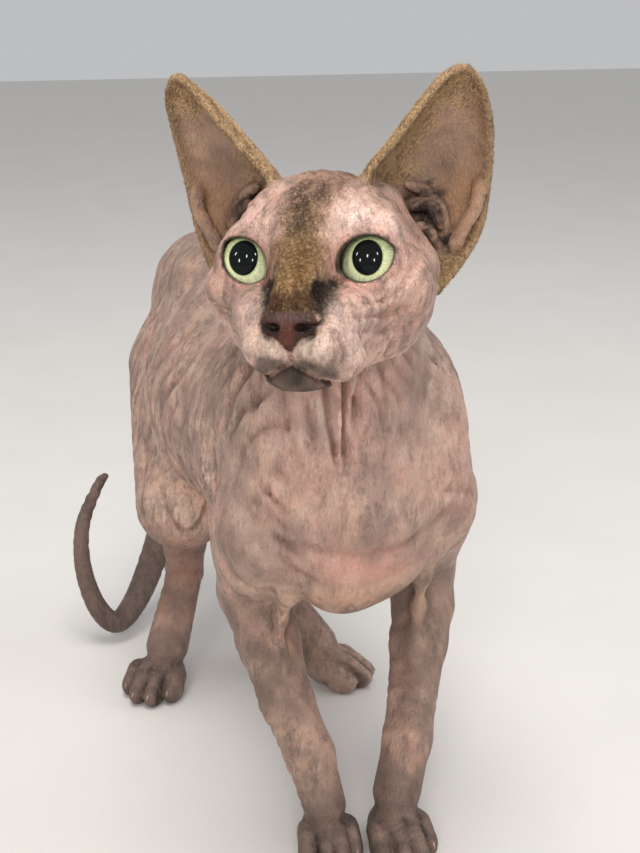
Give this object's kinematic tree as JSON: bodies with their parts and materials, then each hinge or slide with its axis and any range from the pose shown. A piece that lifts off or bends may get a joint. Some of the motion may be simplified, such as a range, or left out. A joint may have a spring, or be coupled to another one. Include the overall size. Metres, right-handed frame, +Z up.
{
  "type": "sphynx cat, still model",
  "caption": "Hairless cat standing on all fours, bunched stance, head turned to its right and lifted, big upright ears, tail hanging and curled up at its end.",
  "frame": {"origin": "on the floor, under the middle of the whole animal's box", "axes": "the cat's body faces -Y, its left side is at +X, +Z is up; the head is turned about 32 degrees to the cat's right"},
  "size_m": [0.1594, 0.4158, 0.3643],
  "materials": {
    "skin_face": "bare pinkish tan skin with darker patches, matt, faint down on the nose",
    "skin_body": "bare skin mottled pink and grey-brown, soft satin",
    "skin_legs": "bare grey-brown skin, soft satin",
    "skin_paws": "dark grey-brown bare skin, soft satin",
    "skin_ears": "tan skin with short down along the rims",
    "eyes": "wet, glossy yellow-green eye with a dark upright pupil"
  },
  "bodies": {
    "root": {"head": "skin_face", "neck": "skin_body", "chest": "skin_body", "belly": "skin_body", "rump": "skin_body", "right_thigh": "skin_body", "left_thigh": "skin_body", "right_forearm": "skin_legs", "right_pastern": "skin_legs", "right_forepaw": "skin_paws", "left_forearm": "skin_legs", "left_pastern": "skin_legs", "left_forepaw": "skin_paws", "right_shank": "skin_legs", "right_hindfoot": "skin_legs", "right_hindpaw": "skin_paws", "left_shank": "skin_legs", "left_hindfoot": "skin_legs", "left_hindpaw": "skin_paws", "tail_root": "skin_legs", "tail_middle": "skin_legs", "tail_bend": "skin_paws", "tail_tip": "skin_paws", "right_ear": "skin_ears", "left_ear": "skin_ears", "right_eye": "eyes", "left_eye": "eyes"}
  },
  "joints": []
}
